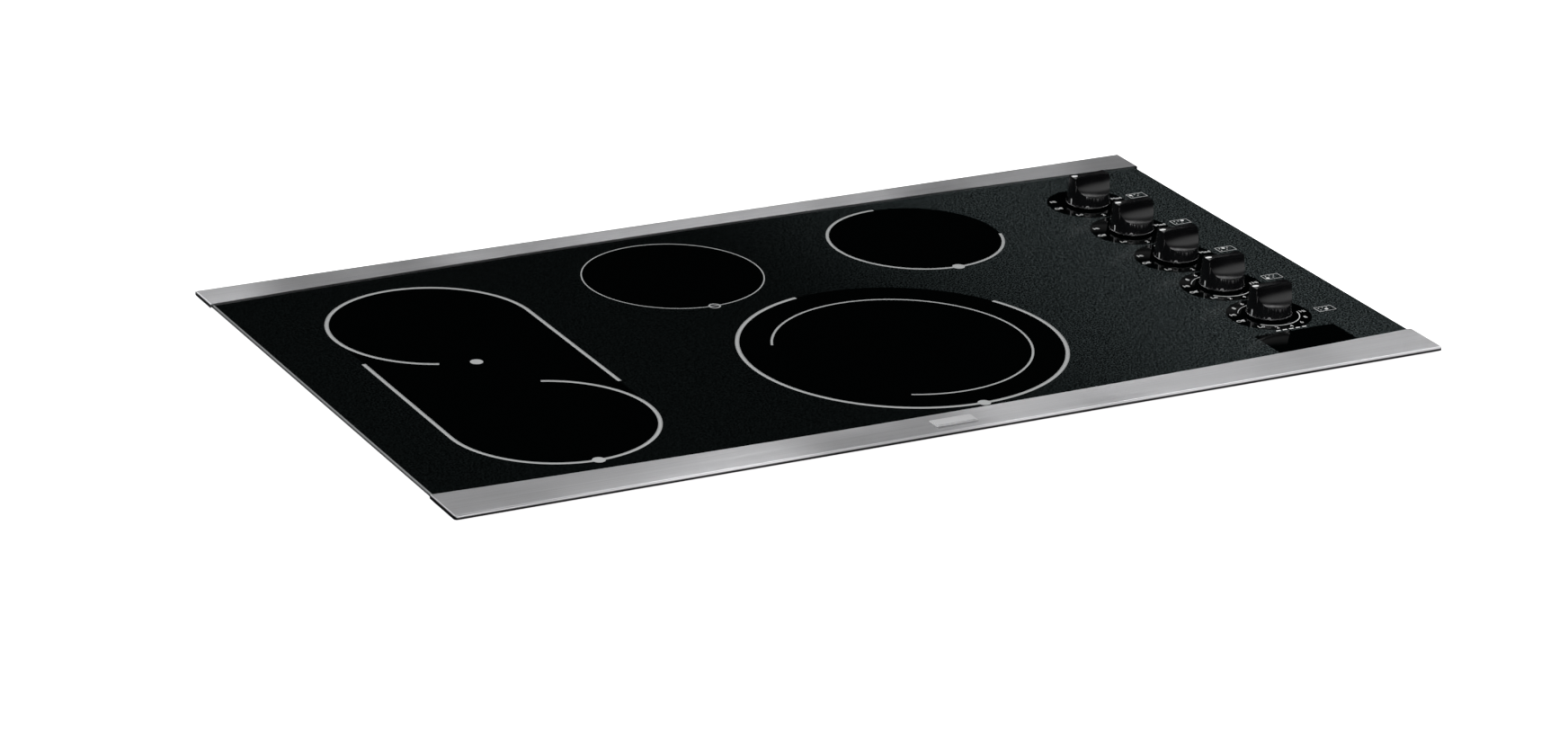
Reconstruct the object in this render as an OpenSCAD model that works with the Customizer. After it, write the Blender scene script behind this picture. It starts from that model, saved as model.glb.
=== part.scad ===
// Five-zone radiant smoothtop, built into a worktop.
// X runs along the width, Y towards the rear, Z up. The origin lies at the middle of the
// underside of the burner box; the worktop's surface is at the height of box_depth.

/* [Top] */
// Width over the metal trims
trim_w = 930; // [900:1:960]
// Depth over the metal trims
trim_d = 542; // [538:0.5:548]
// Width of the glass
glass_w = 925; // [890:1:928]
// Thickness of the glass
glass_t = 4; // [3:0.5:5]
// Width of the front trim at its middle
front_trim_d = 37.5; // [34:0.5:40]
// Width of the rear trim at its middle
rear_trim_d = 26; // [24:0.5:28]
// How much wider the trims are at their ends, where the glass edge curves in
trim_bow = 10.6; // [0:0.2:11]
// Sheet thickness of the trims
trim_t = 1; // [0.8:0.1:1.4]
// Thickness of the foam seal under the glass
seal_t = 1.5; // [1:0.25:2]

/* [Burner box] */
// Width of the burner box
box_w = 847; // [840:1:850]
// Depth of the burner box, front to rear
box_d = 473; // [471:1:476]
// Height of the burner box below the worktop
box_depth = 79; // [78:1:84]
// Sheet thickness of the burner box
box_t = 0.9; // [0.8:0.1:1.2]
// Thickest worktop that the clamps can hold
worktop_t = 38; // [30:1:40]

/* [Zones] */
// Radius of the left rear element's pan
left_rear_r = 98; // [94:1:98]
// Radius of the left front element's pan
left_front_r = 97; // [93:1:98]
// Radius of the warming element's pan
warming_r = 89; // [84:1:89]
// Radius of the dual element's pan
power_r = 149; // [145:1:149]
// Radius of the right rear element's pan
right_rear_r = 87; // [82:1:88]
// Height of the element pans
pan_h = 30; // [28:1:31]

/* [Controls] */
// Distance of the row of knobs from the middle of the glass
knob_x = 369.4; // [368:0.2:372]
// Distance from knob to knob
knob_pitch = 76.9; // [70:0.1:78]
// Radius of a knob at its skirt
knob_r = 20.4; // [18:0.2:22]
// Height of a knob
knob_h = 27; // [25:0.1:28]
// Gap between a knob and the glass
knob_gap = 1.8; // [1.8:0.1:2.4]
// How far a knob is pushed in before it turns
push_travel = 1.4; // [1:0.1:1.4]
// Diameter of the control shafts
shaft_dia = 6; // [5.5:0.25:6.5]

/* [Hidden] */
zone_names = ["left_rear", "bridge", "left_front", "warming", "power", "right_rear"];
$fn = 96;

// Heights, from the worktop up
glass_z = box_depth + seal_t;
glass_top_z = glass_z + glass_t;
trim_top_z = glass_top_z + trim_t;
trim_lip_z = glass_top_z - 2.3;
trim_nose_r = 2.4;
trim_end_r = 1.4;
trim_corner_r = 3;
edge_bevel = 1;

// Zone centres and the angle at which each element's limiter leaves its pan
zone_place = [[-309.5, 116.8], [-309.5, 0], [-309.5, -119.8], [-66, 144.4],
              [38, -84], [178, 145.5]];
zone_r = [left_rear_r, 60, left_front_r, warming_r, power_r, right_rear_r];
limiter_angle = [30, 0, -30, 0, 0, 0];
bridge_zone = 1;
power_zone = 4;
bridge_w = 120;
bridge_d = 84;
bridge_strips = 9;
pan_t = 0.8;
pan_gap = 0.5;
wall_ring = 8;
pan_z = glass_z - pan_h - 2;
bed_z = pan_z + pan_t;
bed_top_z = bed_z + 12;
ribbon_t = 0.8;
ribbon_h = 7;
ribbon_pitch = 11;
ribbon_gap_angle = 16;
divider_r = 113;
divider_t = 7;
rod_z = glass_z - 7;
rod_r = 2;
limiter_l = 24;
limiter_w = 18;
limiter_h = 18;

// Rails and springs under the elements
rail_x = [-309.5, -66, 140];
rail_w = 26;
rail_top_z = 32;
rail_t = 1;
spring_l = 50;
spring_w = 14;
spring_t = 0.8;
spring_touch = 0.02;
spring_y = [[160, 75, 0, -75, -165], [180, 105, -60, -125], [-30, -140, 110, 185]];

// Controls
knob_y = [for (i = [0:4]) 10.4 + (2 - i) * knob_pitch];
knob_z = glass_top_z + knob_gap;
glass_hole_r = 5.5;
shaft_r = shaft_dia / 2;
bracket_z = 66.8;
bracket_t = 1.2;
bracket_x = [305, 419];
bracket_y = [-178, 200];
foot_w = 12;
foot_x = [bracket_x[0] - foot_w / 2, bracket_x[1] - foot_w / 2];
foot_y = [-150, 10, 170];
switch_w = 38;
switch_d = 34;
switch_z = 34;
chamber_r = 8;
chamber_z = [46, bracket_z - 2];
tip_z = 40;
shaft_z = [tip_z + 3, knob_z + 14];
shoulder_r = 5;
shoulder_t = 2;
shoulder_z = chamber_z[1] - shoulder_t - 0.2;
collar_r = 7.5;
collar_t = 2;
collar_z = shoulder_z - collar_t - 0.05;
run_gap = 0.05;
wire_gap_z = 39;
wire_gap_y = [-115, 30, 135];

// Fasteners
screw_r = 1.95;
screw_hole_r = 2.1;
head_r = 3.6;
head_t = 1.6;
clamp_y = [-150, 150];
clamp_out = 19;
clamp_r = 2.4;
shield_hole_place = [380, 200];

// Glass brackets: which wall they sit on, and where along it
bracket_sides = [["left", 60], ["left", -60], ["right", -207], ["right", 218], ["front", -130],
                 ["front", 230], ["rear", -190], ["rear", 55]];
bracket_drop = 14;

// Supply entry
entry_x = 292;
entry_z = 24;
entry_r = 11;
entry_bore_r = 8.5;
block_x = 366;
block_y = 219;
block_top_z = 24;

// A flat plate with rounded corners, centred on Z
module rounded_plate(w, d, h, r) {
    linear_extrude(h) {
        square([w - 2 * r, d], center = true);
        square([w, d - 2 * r], center = true);
        for (x = [-1, 1], y = [-1, 1])
            translate([x * (w / 2 - r), y * (d / 2 - r)]) circle(r);
    }
}

// Places its children at a point of the plan and a height
module at(p, z = 0) {
    translate([p[0], p[1], z]) children();
}

// ---------- Top ----------

// Ceramic glass with pencilled side edges and five shaft holes
module glass_top() {
    half = glass_w / 2;
    depth = trim_d - 2 * (trim_t + 3);
    color([0.04, 0.05, 0.05]) difference() {
        translate([0, depth / 2, 0]) rotate([90, 0, 0]) linear_extrude(depth)
            polygon([[-half + edge_bevel, glass_z], [half - edge_bevel, glass_z],
                     [half, glass_z + edge_bevel], [half, glass_top_z - edge_bevel],
                     [half - edge_bevel, glass_top_z], [-half + edge_bevel, glass_top_z],
                     [-half, glass_top_z - edge_bevel], [-half, glass_z + edge_bevel]]);
        for (y = knob_y) at([knob_x, y], glass_z - 1) cylinder(r = glass_hole_r, h = glass_t + 2);
    }
}

// Folded trim: a flat top sheet that turns down over the glass along its outer edge and at
// both ends. Its inner edge is bowed, so that the glass is deepest in the middle.
module trim(seen) {
    nose = trim_d / 2;
    half = trim_w / 2;
    bowed = [for (k = [-12:12]) [k / 12 * half, nose - seen - trim_bow * pow(k / 12, 2)]];
    difference() {
        intersection() {
            translate([0, 0, trim_lip_z]) linear_extrude(trim_top_z - trim_lip_z) difference() {
                polygon(concat(bowed, [[half, nose], [-half, nose]]));
                for (side = [-1, 1]) translate([side * half, nose]) difference() {
                    square(2 * trim_corner_r, center = true);
                    translate([-side * trim_corner_r, -trim_corner_r]) circle(trim_corner_r);
                }
            }
            rotate([90, 0, 90]) linear_extrude(trim_w + 2, center = true)
                round_top(0, nose, trim_nose_r);
            rotate([90, 0, 0]) linear_extrude(2 * trim_d, center = true) {
                round_top(-trim_end_r, half, trim_end_r);
                mirror([1, 0]) round_top(-trim_end_r, half, trim_end_r);
            }
        }
        translate([-half + trim_t, 0, trim_lip_z - 1])
            cube([trim_w - 2 * trim_t, nose - trim_t, glass_top_z - trim_lip_z + 1]);
    }
}

// Section of the trim before it is hollowed: a block with one rounded top corner
module round_top(from, to, r) {
    translate([from, trim_lip_z]) square([to - r - from, trim_top_z - trim_lip_z]);
    translate([from, trim_lip_z]) square([to - from, trim_top_z - r - trim_lip_z]);
    translate([to - r, trim_top_z - r]) circle(r);
}

module front_trim() {
    color([0.62, 0.62, 0.63]) mirror([0, 1, 0]) trim(front_trim_d);
}

module rear_trim() {
    color([0.62, 0.62, 0.63]) trim(rear_trim_d);
}

// Blank raised plate on the front trim
module trim_badge() {
    color([0.72, 0.72, 0.73]) at([-7.6, -trim_d / 2 + 17.8], trim_top_z) {
        rounded_plate(39.4, 14.6, 1.2, 1.5);
        translate([0, 0, 1.2]) rounded_plate(36.4, 11.6, 0.6, 1);
    }
}

// Foam strip that the top rests on, round the cut-out
module worktop_seal() {
    color([0.15, 0.15, 0.15]) at([0, 0], box_depth) difference() {
        rounded_plate(916, 526, seal_t, 6);
        translate([0, 0, -1]) rounded_plate(880, 504, seal_t + 2, 6);
    }
}

// ---------- Burner box ----------

// Rectangular slots side by side in the wall
module vent_row(count, pitch, w, h) {
    for (i = [0:count - 1])
        translate([(i - (count - 1) / 2) * pitch - w / 2, -5, -h / 2]) cube([w, 10, h]);
}

// Places its children on the inner face of a wall, with +Y pointing outwards
module on_wall(side, along) {
    turn = side == "left" ? 90 : side == "right" ? -90 : side == "front" ? 180 : 0;
    out = side == "left" || side == "right" ? box_w / 2 : box_d / 2;
    shift = side == "rear" || side == "left" ? along : -along;
    rotate([0, 0, turn]) translate([shift, out - box_t, 0]) children();
}

module wall_hole(r) {
    translate([0, -5, 0]) rotate([-90, 0, 0]) cylinder(r = r, h = 10);
}

module burner_box() {
    wall_top = glass_z - bracket_drop / 2 - 1;
    color([0.66, 0.68, 0.69]) difference() {
        rounded_plate(box_w, box_d, glass_z - 0.1, 6);
        translate([0, 0, box_t]) rounded_plate(box_w - 2 * box_t, box_d - 2 * box_t, glass_z, 5);
        for (b = bracket_sides) on_wall(b[0], b[1]) translate([0, 0, wall_top]) wall_hole(screw_hole_r);
        for (side = ["left", "right"], y = clamp_y)
            on_wall(side, y) translate([0, 0, 30]) wall_hole(screw_hole_r);
        translate([entry_x, box_d / 2, entry_z]) rotate([90, 0, 0])
            cylinder(r = entry_r + run_gap, h = 10, center = true);
        for (x = foot_x, y = foot_y) at([x, y], -1) cylinder(r = screw_hole_r, h = 4);
        for (x = [-1, 1], y = [-1, 1])
            at([x * shield_hole_place[0], y * shield_hole_place[1]], -1) cylinder(r = screw_hole_r, h = 4);
        translate([120, box_d / 2, 40]) vent_row(14, 14, 7, 18);
        translate([-120, box_d / 2, 40]) vent_row(14, 14, 7, 18);
        translate([0, -box_d / 2, 24]) vent_row(24, 14, 7, 12);
    }
}

// Angles glued under the glass; the box walls are screwed to them
module glass_brackets() {
    color([0.7, 0.71, 0.72]) for (b = bracket_sides) on_wall(b[0], b[1]) difference() {
        translate([0, -1.2, glass_z]) rotate([0, 0, 180]) mirror([0, 0, 1]) {
            translate([-10, -1.2, 0]) cube([20, 1.2, bracket_drop]);
            translate([-10, -1.2, 0]) cube([20, 12, 1.2]);
        }
        translate([0, 0, glass_z - bracket_drop / 2 - 1]) wall_hole(screw_hole_r);
    }
}

// Channels that carry the springs, standing on the floor of the box
module support_rails() {
    length = box_d - 2 * box_t - 2;
    color([0.72, 0.73, 0.74]) for (x = rail_x) at([x, 0], box_t) rotate([90, 0, 0])
        linear_extrude(length, center = true) difference() {
            translate([-rail_w / 2, 0]) square([rail_w, rail_top_z - box_t]);
            translate([-rail_w / 2 + rail_t, -1]) square([rail_w - 2 * rail_t, rail_top_z - box_t - rail_t + 1]);
        }
}

// Bowed leaf springs that press the elements against the glass
module element_springs() {
    rise = pan_z - rail_top_z - spring_touch;
    r = (pow(spring_l / 2, 2) + pow(rise, 2)) / (2 * rise);
    sweep_angle = asin(spring_l / 2 / r);
    arc = [for (i = [-12:12]) i * sweep_angle / 12];
    color([0.55, 0.56, 0.58]) for (k = [0:2], y = spring_y[k])
        translate([rail_x[k] + spring_w / 2, y, rail_top_z + rise - r]) rotate([90, 0, -90])
            linear_extrude(spring_w) polygon(concat(
                [for (a = arc) [r * sin(a), r * cos(a)]],
                [for (i = [len(arc) - 1:-1:0]) (r - spring_t) * [sin(arc[i]), cos(arc[i])]
                    + [0, i == 0 || i == len(arc) - 1 ? 0.6 : 0]]));
}

// ---------- Elements ----------

// Outline of a zone: a disc, or for the bridge a bar hollowed by its two neighbours
module zone_outline(i, grow) {
    if (i == bridge_zone) difference() {
        square([bridge_w + 2 * grow, bridge_d], center = true);
        for (n = [bridge_zone - 1, bridge_zone + 1])
            translate([0, zone_place[n][1]]) circle(zone_r[n] + 2 - grow);
    }
    else circle(zone_r[i] + grow);
}

// Slot in a pan's wall where the limiter's rod passes
module limiter_slot(i) {
    rotate([0, 0, limiter_angle[i]]) translate([zone_r[i] - 2 * wall_ring, -3.5, rod_z - 4])
        cube([3 * wall_ring, 7, 20]);
}

module zone_pan(i) {
    color([0.74, 0.75, 0.76]) at(zone_place[i]) difference() {
        translate([0, 0, pan_z]) linear_extrude(pan_h) zone_outline(i, 0);
        translate([0, 0, bed_z]) linear_extrude(pan_h) zone_outline(i, -pan_t);
        limiter_slot(i);
    }
}

module zone_insulation(i) {
    color([0.86, 0.85, 0.8]) at(zone_place[i]) difference() {
        translate([0, 0, bed_z]) linear_extrude(glass_z - bed_z - 0.1) zone_outline(i, -pan_t - 0.2);
        difference() {
            translate([0, 0, bed_top_z]) linear_extrude(pan_h) zone_outline(i, -pan_t - wall_ring);
            if (i == power_zone) linear_extrude(glass_z - 6) difference() {
                circle(divider_r + divider_t / 2);
                circle(divider_r - divider_t / 2);
            }
        }
        limiter_slot(i);
        if (i == power_zone) translate([0, -3.5, rod_z - 4]) cube([power_r, 7, 20]);
    }
}

// Strip on edge, laid in arcs that are joined end to end
module ribbon_arcs(r_in, r_out) {
    count = floor((r_out - r_in) / ribbon_pitch) + 1;
    for (k = [0:count - 1]) {
        r = r_in + k * ribbon_pitch;
        rotate([0, 0, 180 + ribbon_gap_angle]) rotate_extrude(angle = 360 - 2 * ribbon_gap_angle)
            translate([r - ribbon_t / 2, 0]) square([ribbon_t, ribbon_h]);
        side = k % 2 == 0 ? 1 : -1;
        if (k < count - 1) rotate([0, 0, 180 - side * ribbon_gap_angle])
            translate([r, -ribbon_t / 2, 0]) cube([ribbon_pitch, ribbon_t, ribbon_h]);
    }
}

// Strip on edge, laid back and forth across the bridge between its two hollowed sides
function bridge_side(x, n) = let (off = zone_place[n][1], r = zone_r[n] + 2 + pan_t + wall_ring + 3)
    sign(off) * (abs(off) - sqrt(r * r - x * x));
function bridge_turn(k, n) = let (first = bridge_side(bridge_x(k), n), next = bridge_side(bridge_x(k + 1), n))
    abs(first) < abs(next) ? first : next;
function bridge_x(k) = (k - (bridge_strips - 1) / 2) * ribbon_pitch;

module ribbon_meander() {
    rear = bridge_zone - 1;
    front = bridge_zone + 1;
    for (k = [0:bridge_strips - 1]) {
        high = bridge_turn(k % 2 == 0 ? k : k - 1, rear);
        low = bridge_turn(k % 2 == 0 ? k - 1 : k, front);
        translate([bridge_x(k) - ribbon_t / 2, low - ribbon_t / 2, 0])
            cube([ribbon_t, high - low + ribbon_t, ribbon_h]);
        if (k < bridge_strips - 1)
            translate([bridge_x(k), (k % 2 == 0 ? high : low) - ribbon_t / 2, 0])
                cube([ribbon_pitch, ribbon_t, ribbon_h]);
    }
}

module zone_ribbon(i) {
    color([0.5, 0.42, 0.36]) at(zone_place[i], bed_top_z) {
        if (i == bridge_zone) ribbon_meander();
        else if (i == power_zone) {
            ribbon_arcs(15, divider_r - divider_t / 2 - 3);
            ribbon_arcs(divider_r + divider_t / 2 + 5, power_r - wall_ring - 5);
        }
        else ribbon_arcs(15, zone_r[i] - wall_ring - 5);
    }
}

// Rod thermostats that cut an element off when the glass is too hot
module limiters() {
    for (i = [0:len(zone_place) - 1]) at(zone_place[i]) rotate([0, 0, limiter_angle[i]]) {
        color([0.9, 0.89, 0.86]) translate([zone_r[i] + 1, -limiter_w / 2, rod_z - limiter_h + 5])
            cube([limiter_l, limiter_w, limiter_h]);
        color([0.8, 0.82, 0.84]) translate([-zone_r[i] * 0.6, 0, rod_z]) rotate([0, 90, 0])
            cylinder(r = rod_r, h = zone_r[i] * 1.6 + 1.01);
    }
}

// ---------- Controls ----------

// Hat-shaped bracket that carries the switches and shields them from the elements
module control_bracket() {
    length = bracket_y[1] - bracket_y[0];
    color([0.7, 0.71, 0.72]) difference() {
        translate([0, bracket_y[1], 0]) rotate([90, 0, 0]) linear_extrude(length) {
            translate([bracket_x[0] - foot_w, box_t]) square([foot_w + bracket_t, bracket_t]);
            translate([bracket_x[0], box_t]) square([bracket_t, glass_z - 3 - box_t]);
            translate([bracket_x[0], bracket_z]) square([bracket_x[1] - bracket_x[0], bracket_t]);
            translate([bracket_x[1] - bracket_t, box_t]) square([bracket_t, bracket_z + bracket_t - box_t]);
            translate([bracket_x[1] - foot_w, box_t]) square([foot_w, bracket_t]);
        }
        for (y = knob_y) {
            at([knob_x, y], bracket_z - 1) cylinder(r = 4.5, h = 4);
            for (x = [-12, 12]) at([knob_x + x, y + 12 * sign(x)], bracket_z - 1)
                cylinder(r = screw_hole_r, h = 4);
        }
        for (x = foot_x, y = foot_y) at([x, y], 0) cylinder(r = screw_hole_r, h = 4);
        for (y = wire_gap_y) translate([bracket_x[0] - 2, y - 11, wire_gap_z - 6]) cube([6, 22, 12]);
    }
}

// Switch housings with a stepped well for the shaft, its collar and its return spring
module switch_bodies() {
    color([0.13, 0.13, 0.14]) for (y = knob_y) at([knob_x, y]) difference() {
        translate([-switch_w / 2, -switch_d / 2, switch_z]) cube([switch_w, switch_d, bracket_z - switch_z]);
        translate([0, 0, tip_z]) cylinder(r = 4, h = 40);
        translate([0, 0, chamber_z[0]]) cylinder(r = chamber_r, h = chamber_z[1] - chamber_z[0]);
        for (x = [-12, 12]) at([x, 12 * sign(x)], bracket_z - 8) cylinder(r = screw_hole_r, h = 10);
    }
}

// Tab terminals on the switches and posts on the supply block
module brass_terminals() {
    color([0.78, 0.62, 0.32]) {
        for (y = knob_y, k = [-1.5:1:1.5]) translate([knob_x - switch_w / 2 - 9, y + k * 8 - 3.15, 54])
            cube([9, 6.3, 0.8]);
        for (k = [-1:1]) at([block_x + k * 24, block_y], block_top_z) {
            cylinder(r = 5.5, h = 3);
            cylinder(r = 2.5, h = 9);
        }
    }
}

// Moulded block that the supply wires are bolted to
module terminal_block() {
    color([0.1, 0.1, 0.11]) difference() {
        translate([block_x - 40, block_y - 12, box_t]) cube([80, 24, block_top_z + 10 - box_t]);
        for (k = [-1:1]) translate([block_x + k * 24 - 10, block_y - 13, block_top_z]) cube([20, 26, 20]);
    }
}

// One knob's outline, turned about its axis: a short skirt and a slightly tapered grip
module knob_form() {
    rotate_extrude() polygon([[0, 0], [knob_r - 0.4, 0], [knob_r, 0.4], [knob_r - 0.1, 3.2],
                              [knob_r - 0.9, 4.2], [knob_r - 1.5, knob_h - 1.6],
                              [knob_r - 1.9, knob_h - 0.7], [knob_r - 2.8, knob_h - 0.1],
                              [knob_r - 3.6, knob_h], [0, knob_h]]);
}

module knob(i) {
    scoop_r = 17;
    bar_half = 3.5;
    scoop_z = 9.8;
    color([0.05, 0.05, 0.05]) at([knob_x, knob_y[i - 1]], knob_z) difference() {
        knob_form();
        for (side = [-1, 1])
            translate([0, side * (bar_half + scoop_r), scoop_z + scoop_r]) rotate([0, 90, 0])
                cylinder(r = scoop_r, h = 60, center = true);
        difference() {
            translate([0, 0, -1]) cylinder(r = knob_r - 1.9, h = 8.2);
            translate([0, 0, -2]) cylinder(r = 6.5, h = 12);
        }
        intersection() {
            translate([0, 0, -1]) cylinder(r = shaft_r + run_gap, h = 15.2);
            translate([-20, -20, -2]) cube([40, 20 + shaft_r / 2 + run_gap, 40]);
        }
    }
}

// Turned steel shaft: a flat for the knob and a shoulder that bears on the collar
module shaft(i) {
    color([0.75, 0.75, 0.76]) at([knob_x, knob_y[i - 1]]) {
        difference() {
            translate([0, 0, shaft_z[0]]) cylinder(r = shaft_r, h = shaft_z[1] - shaft_z[0]);
            translate([-20, shaft_r / 2, knob_z - 2]) cube([40, 20, 40]);
        }
        translate([0, 0, shoulder_z]) cylinder(r = shoulder_r, h = shoulder_t);
    }
}

// Sliding collar between the shaft's shoulder and the return spring
module collar(i) {
    color([0.82, 0.8, 0.7]) at([knob_x, knob_y[i - 1]], collar_z) difference() {
        cylinder(r = collar_r, h = collar_t);
        translate([0, 0, -1]) cylinder(r = shaft_r + run_gap, h = collar_t + 2);
    }
}

// Faces of a tube whose rings of n points follow each other
function tube_faces(rings, n) = concat(
    [[for (j = [n - 1:-1:0]) j]],
    [for (k = [0:rings - 2], j = [0:n - 1])
        [k * n + j, k * n + (j + 1) % n, (k + 1) * n + (j + 1) % n, (k + 1) * n + j]],
    [[for (j = [0:n - 1]) (rings - 1) * n + j]]);

// Helical return spring
module return_spring(i) {
    turns = 5;
    steps = 14;
    wire = 0.5;
    mean_r = 6.3;
    bottom = chamber_z[0] + wire + 0.05;
    rise = collar_z - 0.05 - wire - bottom;
    sides = 6;
    rings = turns * steps;
    color([0.7, 0.7, 0.72]) at([knob_x, knob_y[i - 1]], bottom)
        polyhedron([for (k = [0:rings], j = [0:sides - 1])
            let (a = 360 * k / steps, b = 360 * j / sides, r = mean_r + wire * cos(b))
            [r * cos(a), r * sin(a), rise * k / rings + wire * sin(b)]],
            tube_faces(rings + 1, sides), convexity = 8);
}

// Light box under the clear window of the glass
module indicator_housing() {
    color([0.85, 0.85, 0.84]) at([369, -203], glass_z - 14) difference() {
        translate([-40, -14, 0]) cube([80, 28, 13.9]);
        for (k = [-2:2]) translate([k * 15 - 6.5, -11, 1.2]) cube([13, 22, 20]);
    }
}

module indicator_lamps() {
    color([0.85, 0.25, 0.15]) for (k = [-2:2]) at([369 + k * 15, -203], glass_z - 12.8) {
        cylinder(r = 2.5, h = 7);
        translate([0, 0, 7]) sphere(2.5);
    }
}

// ---------- Supply entry and wiring ----------

// Threaded entry bushing with its locknut; a conduit connector or cable passes its bore
module cable_bushing() {
    wall_in = box_d / 2 - box_t;
    color([0.72, 0.72, 0.74]) translate([entry_x, 0, entry_z]) difference() {
        union() {
            translate([0, wall_in + 16, 0]) rotate([90, 0, 0]) cylinder(r = entry_r, h = 26);
            translate([0, wall_in + box_t + 3.5, 0]) rotate([90, 0, 0]) cylinder(r = 15, h = 3.5);
            translate([0, wall_in, 0]) rotate([90, 0, 0]) cylinder(r = 15, h = 4, $fn = 6);
        }
        translate([0, wall_in, 0]) rotate([90, 0, 0]) cylinder(r = entry_bore_r, h = 80, center = true);
    }
}

// A bundle of insulated wires along a path of points, with its bends rounded
function unit(v) = v / norm(v);
function smooth_path(p) = concat([p[0]],
    [for (k = [1:len(p) - 2], t = [0:0.25:1])
        let (a = p[k] + (p[k - 1] - p[k]) * min(0.4, 12 / norm(p[k - 1] - p[k])),
             b = p[k] + (p[k + 1] - p[k]) * min(0.4, 12 / norm(p[k + 1] - p[k])))
        a * pow(1 - t, 2) + 2 * p[k] * t * (1 - t) + b * pow(t, 2)],
    [p[len(p) - 1]]);

module wire_bundle(points, r) {
    p = smooth_path(points);
    last = len(p) - 1;
    sides = 8;
    dirs = [for (k = [0:last]) unit(p[min(k + 1, last)] - p[max(k - 1, 0)])];
    polyhedron([for (k = [0:last], j = [0:sides - 1])
        let (up = abs(dirs[k][2]) > 0.9 ? [1, 0, 0] : [0, 0, 1],
             u = unit(cross(dirs[k], up)), v = cross(dirs[k], u), a = 360 * j / sides)
        p[k] - r * cos(a) * u + r * sin(a) * v], tube_faces(last + 1, sides), convexity = 8);
}

// Main loom beside the switches and one branch to each limiter, below the pans
loom_x = 319;
limiter_end = [for (i = [0:5]) let (d = zone_r[i] + 1 + limiter_l / 2)
    [zone_place[i][0] + d * cos(limiter_angle[i]), zone_place[i][1] + d * sin(limiter_angle[i]),
     rod_z - limiter_h + 4.9]];
function below(p, z) = [p[0], p[1], z];
loom_routes = [
    [[loom_x, -150, 39], [loom_x, 188, 39], [346, 205, 42], [352, 219, 48]],
    [[loom_x, 135, 39], [300, 135, 39], below(limiter_end[5], 40), limiter_end[5]],
    [[loom_x, -115, 39], [270, -115, 39], below(limiter_end[4], 40), limiter_end[4]],
    [[loom_x, 34, 39], [200, 42, 39], [60, 45, 39], [34, 100, 39], below(limiter_end[3], 40), limiter_end[3]],
    [[loom_x, 26, 39], [200, 22, 39], [0, 22, 39], [-130, 20, 39], below(limiter_end[1], 40), limiter_end[1]],
    [[-120, 19.6, 39], [-150, 60, 39], below(limiter_end[0], 40), limiter_end[0]],
    [[-130, 18, 39], [-160, -60, 39], below(limiter_end[2], 40), limiter_end[2]]
];

module wiring_harness() {
    color([0.5, 0.12, 0.1]) {
        for (k = [0:len(loom_routes) - 1]) wire_bundle(loom_routes[k], k == 0 ? 4 : 2.8);
        for (y = knob_y) wire_bundle([[loom_x, y - 6, 39], [336, y - 4, 42], [345, y, 46], [345, y, 53.9]], 2);
        wire_bundle([[loom_x, -140, 39], [loom_x, -180, 41], [350, -203, 46], [350, -203, 66.4]], 2);
    }
}

// ---------- Fixing ----------

// Arms screwed to the box walls below the worktop
module hold_down_brackets() {
    color([0.7, 0.71, 0.72]) for (side = ["left", "right"], y = clamp_y) on_wall(side, y)
        translate([-10, box_t, 0]) difference() {
            union() {
                translate([0, 0, 10]) cube([20, 1.5, 28]);
                translate([0, 0, 10]) cube([20, clamp_out + 9, 2]);
            }
            translate([10, 0, 30]) wall_hole(screw_hole_r);
            at([10, clamp_out], 5) cylinder(r = clamp_r + 0.1, h = 10);
        }
}

// Screws with pressure pads that grip the worktop from below
module clamp_screws() {
    pad_top = box_depth - worktop_t;
    color([0.75, 0.75, 0.76]) for (side = ["left", "right"], y = clamp_y) on_wall(side, y)
        at([0, box_t + clamp_out]) {
            translate([0, 0, 5]) cylinder(r = clamp_r, h = pad_top - 5);
            translate([0, 0, 1]) cylinder(r = 7, h = 4, $fn = 6);
            translate([0, 0, pad_top - 2]) cylinder(r = 6, h = 2);
        }
}

// Pan-head screws: glass brackets, hold-down brackets, switches and bracket feet
module pan_screw(length) {
    cylinder(r = screw_r, h = length);
    translate([0, 0, length]) cylinder(r = head_r, h = head_t);
}

module box_screws() {
    color([0.8, 0.8, 0.8]) {
        for (b = bracket_sides) on_wall(b[0], b[1])
            translate([0, -5, glass_z - bracket_drop / 2 - 1]) rotate([-90, 0, 0]) pan_screw(5 + box_t);
        for (side = ["left", "right"], y = clamp_y) on_wall(side, y)
            translate([0, -2, 30]) rotate([-90, 0, 0]) pan_screw(2 + box_t + 1.5);
        for (x = foot_x, y = foot_y) at([x, y], 0) pan_screw(box_t + bracket_t);
        for (y = knob_y, x = [-12, 12]) at([knob_x + x, y + 12 * sign(x)], bracket_z - 6)
            pan_screw(6 + bracket_t);
    }
}

glass_top();
front_trim();
rear_trim();
trim_badge();
worktop_seal();
burner_box();
glass_brackets();
support_rails();
element_springs();
limiters();
control_bracket();
switch_bodies();
brass_terminals();
indicator_housing();
indicator_lamps();
terminal_block();
cable_bushing();
wiring_harness();
hold_down_brackets();
clamp_screws();
box_screws();
for (z = [0:len(zone_names) - 1]) {
    zone_pan(z);
    zone_insulation(z);
    zone_ribbon(z);
}
for (i = [1:5]) {
    knob(i);
    shaft(i);
    collar(i);
    return_spring(i);
}
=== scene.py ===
"""A five-zone radiant smoothtop cooktop, set into a worktop."""

import math

import bmesh
import bpy
from mathutils import Matrix, Vector


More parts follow.
